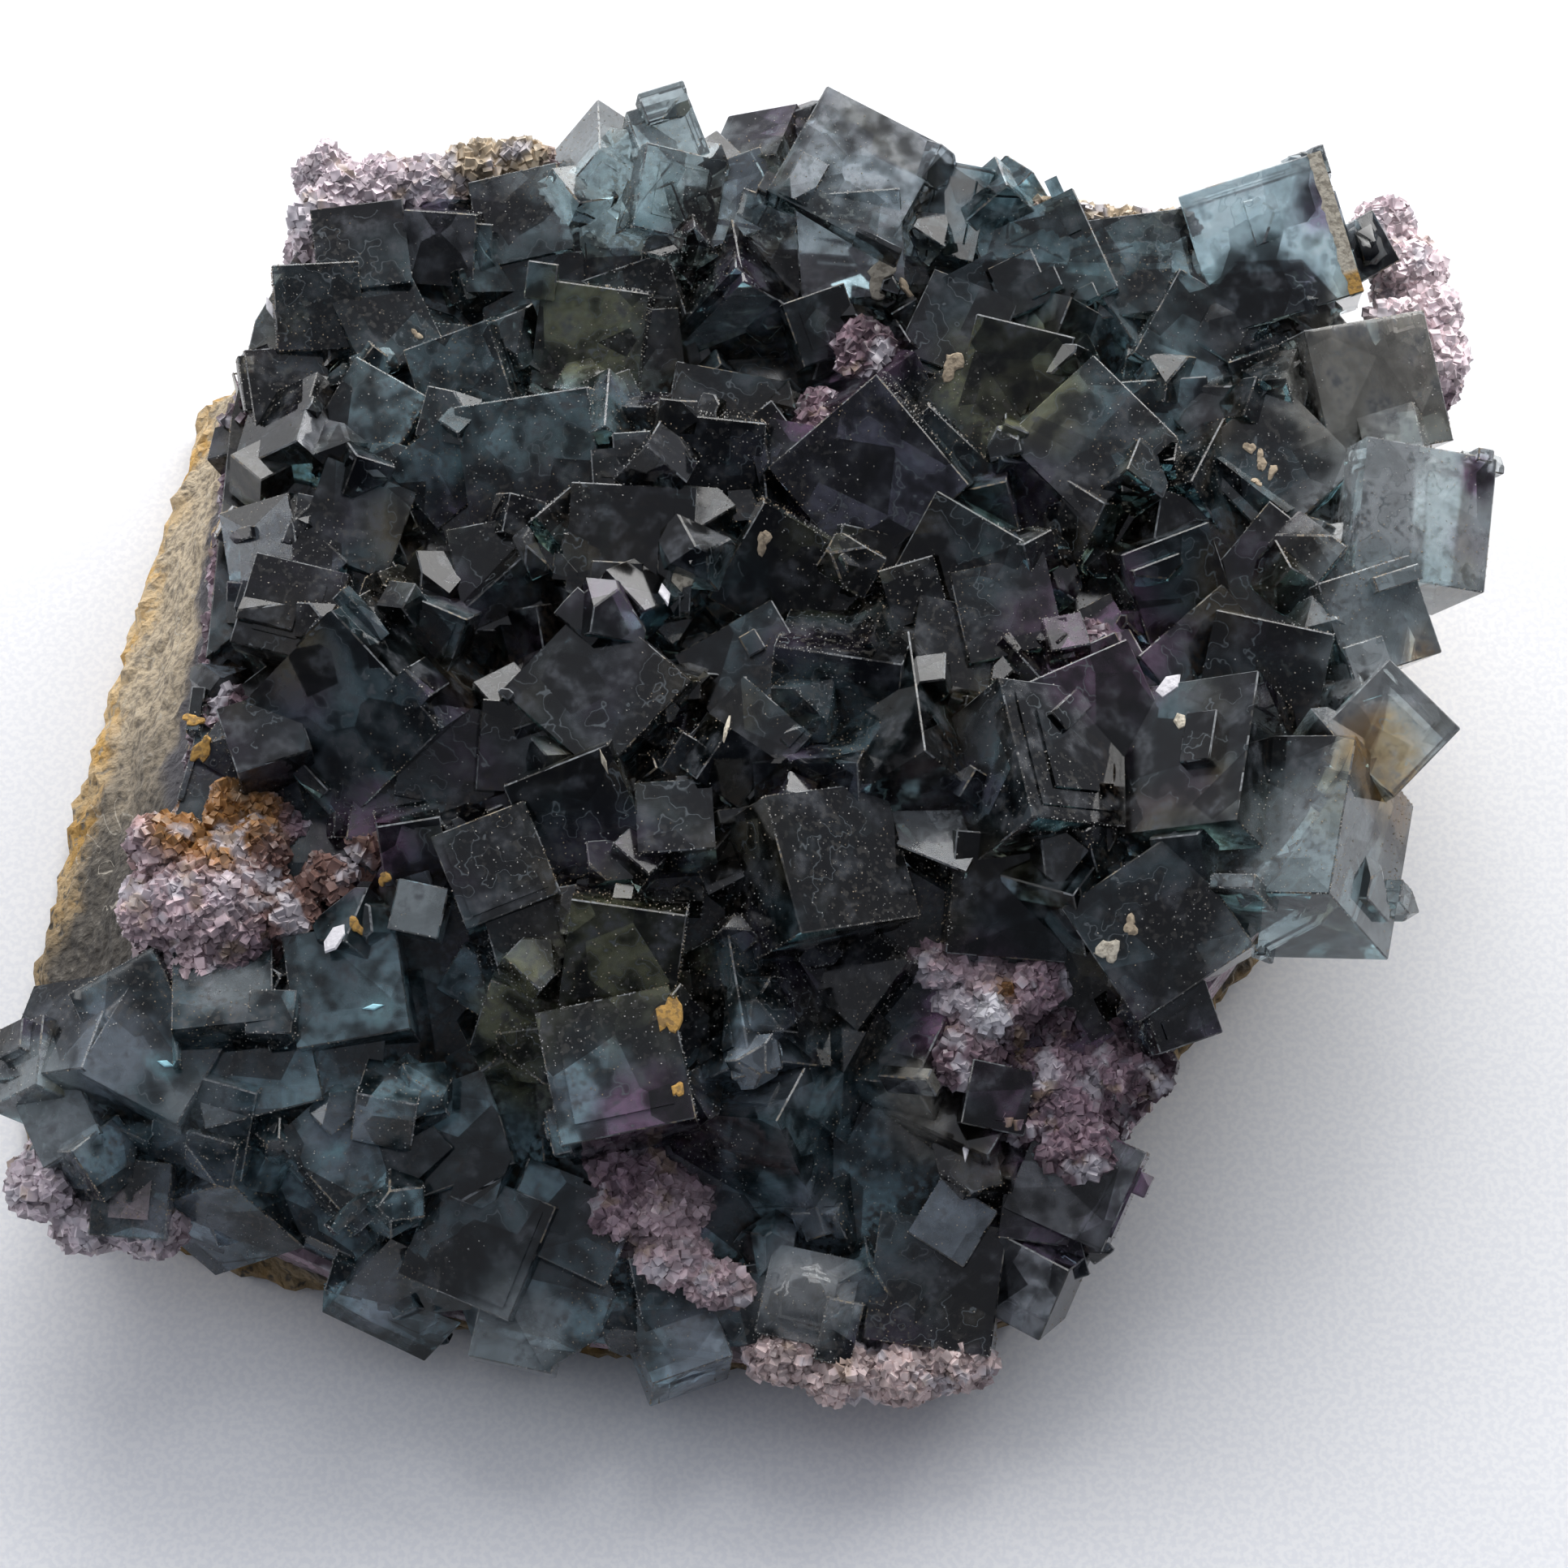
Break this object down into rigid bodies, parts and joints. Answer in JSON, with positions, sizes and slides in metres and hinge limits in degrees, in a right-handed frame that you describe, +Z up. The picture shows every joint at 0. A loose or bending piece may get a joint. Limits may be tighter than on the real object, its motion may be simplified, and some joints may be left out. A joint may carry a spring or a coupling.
{
  "type": "fluorite specimen",
  "caption": "Mineral specimen: intergrown dark blue-green fluorite cubes over a thin purple layer on a flat-based slab of grey-brown host rock.",
  "frame": {"origin": "on the flat underside of the rock slab, below the middle of the specimen", "axes": "+X along the longest side of the slab, to the right of a viewer who stands in front of it; +Y towards its rear edge; +Z up, out of the underside towards the crystal tops; the crust slopes down towards -Y"},
  "size_m": [0.1089, 0.0963, 0.0367],
  "materials": {
    "host_rock": "matt grey-brown speckled rock with a buff weathered rind and thin pale veins",
    "purple_fluorite": "granular purple to white fluorite, glistening, with tan clay stains",
    "fluorite_crystal": "vitreous dark blue-green clear crystal, with dusty edges and a few olive, pale and orange cubes"
  },
  "bodies": {
    "root": {"matrix_rock": "host_rock", "purple_layer": "purple_fluorite", "fluorite_crystals": "fluorite_crystal"}
  },
  "joints": []
}
